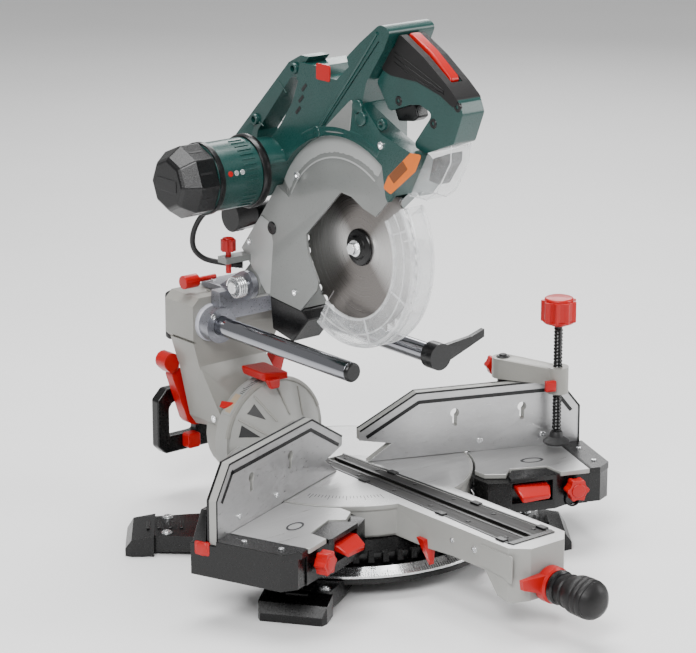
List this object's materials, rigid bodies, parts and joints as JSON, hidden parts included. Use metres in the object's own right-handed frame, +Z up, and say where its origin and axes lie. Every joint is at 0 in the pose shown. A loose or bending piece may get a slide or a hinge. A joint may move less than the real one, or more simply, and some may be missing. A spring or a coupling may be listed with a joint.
{
  "type": "sliding mitre saw",
  "caption": "Sliding compound mitre saw on its own cast base, with a turntable, swinging side tables, rails, a chopping head, blade guards and a hold-down clamp.",
  "frame": {"origin": "on the ground, at the middle of the bounding box's footprint", "axes": "+Z up, +Y away from the operator and towards the rails' post, +X to the operator's right"},
  "size_m": [0.613, 0.751, 0.68],
  "materials": {
    "black_castings": "gloss black paint",
    "machined_aluminium": "brushed",
    "grey_casting": "satin grey paint",
    "guard_casting": "satin silver paint",
    "zinc_casting": "cast",
    "green_plastic": "satin",
    "black_plastic": "satin",
    "soft_grip": "matte",
    "red_plastic": "gloss",
    "rail_chrome": "polished",
    "bright_steel": "brushed",
    "clear_plastic": "clear",
    "copper_winding": "wound"
  },
  "bodies": {
    "base": {"base_casting": "black_castings", "scale_ring": "bright_steel"},
    "turntable": {"turntable": "machined_aluminium", "kerf_plate_left": "black_plastic", "kerf_plate_right": "black_plastic"},
    "mitre_grip": {"mitre_grip": "soft_grip"},
    "detent_lever": {"detent_lever": "red_plastic"},
    "bevel_post": {"bevel_post": "grey_casting", "rear_cover": "black_plastic", "rail_left": "rail_chrome", "rail_right": "rail_chrome", "rail_cap": "black_plastic", "rear_frame": "black_castings"},
    "bevel_lever": {"bevel_lever": "red_plastic"},
    "slide_lever": {"slide_lever": "red_plastic"},
    "bevel_latch": {"bevel_latch": "red_plastic"},
    "rail_lever": {"rail_lever": "black_plastic"},
    "carriage": {"carriage": "zinc_casting", "pivot_pin": "bright_steel", "return_spring": "bright_steel"},
    "transport_pin": {"transport_pin": "red_plastic"},
    "head": {"fixed_guard": "guard_casting", "head_housing": "green_plastic", "belt_cover": "black_plastic", "main_handle": "green_plastic", "laser_window": "clear_plastic", "motor_housing": "green_plastic", "motor_cap": "black_plastic", "stator": "copper_winding", "chip_chute": "black_plastic", "dust_outlet": "black_plastic", "drive_belt": "soft_grip", "power_cable": "soft_grip"},
    "motor_rotor": {"motor_rotor": "bright_steel"},
    "blade": {"spindle": "bright_steel", "blade": "bright_steel", "blade_flange": "black_plastic", "blade_bolt": "bright_steel"},
    "lower_guard": {"lower_guard": "clear_plastic"},
    "trigger": {"trigger": "black_plastic"},
    "safety_bar": {"safety_bar": "red_plastic"},
    "depth_stop": {"depth_stop": "red_plastic"},
    "side_left": {"table_plate_left": "machined_aluminium", "table_bracket_left": "black_castings", "fence_left": "machined_aluminium"},
    "extension_left": {"extension_left": "black_castings"},
    "extension_knob_left": {"extension_knob_left": "red_plastic"},
    "lock_lever_left": {"lock_lever_left": "red_plastic"},
    "side_right": {"table_plate_right": "machined_aluminium", "table_bracket_right": "black_castings", "fence_right": "machined_aluminium"},
    "extension_right": {"extension_right": "black_castings"},
    "extension_knob_right": {"extension_knob_right": "red_plastic"},
    "lock_lever_right": {"lock_lever_right": "red_plastic"},
    "clamp_post": {"clamp_post": "black_plastic"},
    "clamp_arm": {"clamp_arm": "zinc_casting"},
    "clamp_arm_knob": {"clamp_arm_knob": "red_plastic"},
    "clamp_feed": {"clamp_pad": "soft_grip"},
    "clamp_screw": {"clamp_screw": "black_plastic", "clamp_knob": "red_plastic"}
  },
  "joints": [
    {"name": "mitre_swivel", "type": "hinge", "parent": "base", "child": "turntable", "pos_m": [0, 0.0795, 0.062], "axis": [0, 0, 1], "range_deg": [-18, 18]},
    {"name": "mitre_grip_turn", "type": "hinge", "parent": "turntable", "child": "mitre_grip", "pos_m": [0, -0.3305, 0.057], "axis": [0, 1, 0], "range_deg": [-90, 90]},
    {"name": "detent_lever_turn", "type": "hinge", "parent": "turntable", "child": "detent_lever", "pos_m": [0, -0.2955, 0.057], "axis": [0, 1, 0], "range_deg": [0, 20]},
    {"name": "side_swing_right", "type": "hinge", "parent": "base", "child": "side_right", "pos_m": [0, 0.0795, 0.08], "axis": [0, 0, 1], "range_deg": [0, 21.5]},
    {"name": "side_swing_left", "type": "hinge", "parent": "base", "child": "side_left", "pos_m": [0, 0.0795, 0.08], "axis": [0, 0, 1], "range_deg": [-21.5, 0]},
    {"name": "extension_slide_left", "type": "slide", "parent": "side_left", "child": "extension_left", "axis": [-0.9304, -0.3665, 0], "range_m": [0, 0.09]},
    {"name": "extension_knob_turn_left", "type": "hinge", "parent": "side_left", "child": "extension_knob_left", "pos_m": [-0.20272, -0.12073, 0.082], "axis": [0.3665, -0.9304, 0], "range_deg": [-180, 180]},
    {"name": "lock_lever_lift_left", "type": "hinge", "parent": "side_left", "child": "lock_lever_left", "pos_m": [-0.15299, -0.09147, 0.091], "axis": [-0.9304, -0.3665, 0], "range_deg": [0, 12]},
    {"name": "extension_slide_right", "type": "slide", "parent": "side_right", "child": "extension_right", "axis": [0.9304, -0.3665, 0], "range_m": [0, 0.09]},
    {"name": "extension_knob_turn_right", "type": "hinge", "parent": "side_right", "child": "extension_knob_right", "pos_m": [0.20272, -0.12073, 0.082], "axis": [-0.3665, -0.9304, 0], "range_deg": [-180, 180]},
    {"name": "lock_lever_lift_right", "type": "hinge", "parent": "side_right", "child": "lock_lever_right", "pos_m": [0.15299, -0.09147, 0.091], "axis": [0.9304, -0.3665, 0], "range_deg": [-12, 0]},
    {"name": "clamp_lift", "type": "slide", "parent": "side_right", "child": "clamp_post", "axis": [0, 0, 1], "range_m": [0, 0.03]},
    {"name": "clamp_swing", "type": "hinge", "parent": "clamp_post", "child": "clamp_arm", "pos_m": [0.2105, 0.02453, 0.2], "axis": [0, 0, 1], "range_deg": [-40, 2]},
    {"name": "clamp_arm_knob_turn", "type": "hinge", "parent": "clamp_arm", "child": "clamp_arm_knob", "pos_m": [0.2193, 0.04686, 0.199], "axis": [-0.3665, -0.9304, 0], "range_deg": [-180, 180]},
    {"name": "clamp_feed", "type": "slide", "parent": "clamp_arm", "child": "clamp_feed", "axis": [0, 0, 1], "range_m": [-0.0075, 0.03]},
    {"name": "clamp_screw_turn", "type": "hinge", "parent": "clamp_feed", "child": "clamp_screw", "pos_m": [0.24501, -0.04066, 0.128], "axis": [0, 0, 1], "range_deg": [-908, 3608]},
    {"name": "bevel_tilt", "type": "hinge", "parent": "turntable", "child": "bevel_post", "pos_m": [0, 0.2545, 0.104], "axis": [0, 1, 0], "range_deg": [-25, 25]},
    {"name": "bevel_lever_turn", "type": "hinge", "parent": "bevel_post", "child": "bevel_lever", "pos_m": [-0.048, 0.3435, 0.118], "axis": [0, 1, 0], "range_deg": [-25, 20]},
    {"name": "slide_lever_turn", "type": "hinge", "parent": "bevel_post", "child": "slide_lever", "pos_m": [0.066, 0.3295, 0.142], "axis": [0, 1, 0], "range_deg": [-20, 20]},
    {"name": "bevel_latch_lift", "type": "hinge", "parent": "bevel_post", "child": "bevel_latch", "pos_m": [-0.016, 0.2535, 0.192], "axis": [1, 0, 0], "range_deg": [-20, 0]},
    {"name": "rail_lever_turn", "type": "hinge", "parent": "bevel_post", "child": "rail_lever", "pos_m": [0.0624, -0.0205, 0.257], "axis": [0, 1, 0], "range_deg": [-40, 30]},
    {"name": "carriage_slide", "type": "slide", "parent": "bevel_post", "child": "carriage", "axis": [0, -1, 0], "range_m": [0, 0.215]},
    {"name": "transport_pin_pull", "type": "slide", "parent": "carriage", "child": "transport_pin", "axis": [-1, 0, 0], "range_m": [0, 0.012]},
    {"name": "head_chop", "type": "hinge", "parent": "carriage", "child": "head", "pos_m": [0, 0.2395, 0.31], "axis": [1, 0, 0], "range_deg": [0, 55], "stiffness_Nm_per_rad": 16, "springref_deg": -85.94},
    {"name": "blade_spin", "type": "hinge", "parent": "head", "child": "blade", "pos_m": [0, 0.0545, 0.391], "axis": [1, 0, 0], "continuous": true},
    {"name": "rotor_spin", "type": "hinge", "parent": "head", "child": "motor_rotor", "pos_m": [0, 0.1965, 0.471], "axis": [1, 0, 0], "continuous": true},
    {"name": "lower_guard_swing", "type": "hinge", "parent": "head", "child": "lower_guard", "pos_m": [0, 0.0545, 0.391], "axis": [1, 0, 0], "range_deg": [-149, 0]},
    {"name": "trigger_pull", "type": "hinge", "parent": "head", "child": "trigger", "pos_m": [0, -0.0125, 0.588], "axis": [1, 0, 0], "range_deg": [-8, 0], "stiffness_Nm_per_rad": 0.5, "springref_deg": 14.32},
    {"name": "safety_bar_press", "type": "hinge", "parent": "head", "child": "safety_bar", "pos_m": [0, -0.0405, 0.665], "axis": [1, 0, 0], "range_deg": [0, 3], "stiffness_Nm_per_rad": 0.5, "springref_deg": -14.32},
    {"name": "depth_stop_turn", "type": "hinge", "parent": "head", "child": "depth_stop", "pos_m": [-0.058, 0.2475, 0.35], "axis": [0, 0, 1], "range_deg": [-360, 360]}
  ],
  "couplings": [
    {"joint": "side_swing_left", "follows": "side_swing_right", "ratio": -1},
    {"joint": "clamp_screw_turn", "follows": "clamp_feed", "rad_per_m": 2094.4},
    {"joint": "rotor_spin", "follows": "blade_spin", "ratio": 1.6923},
    {"joint": "lower_guard_swing", "follows": "head_chop", "ratio": -2.7}
  ]
}
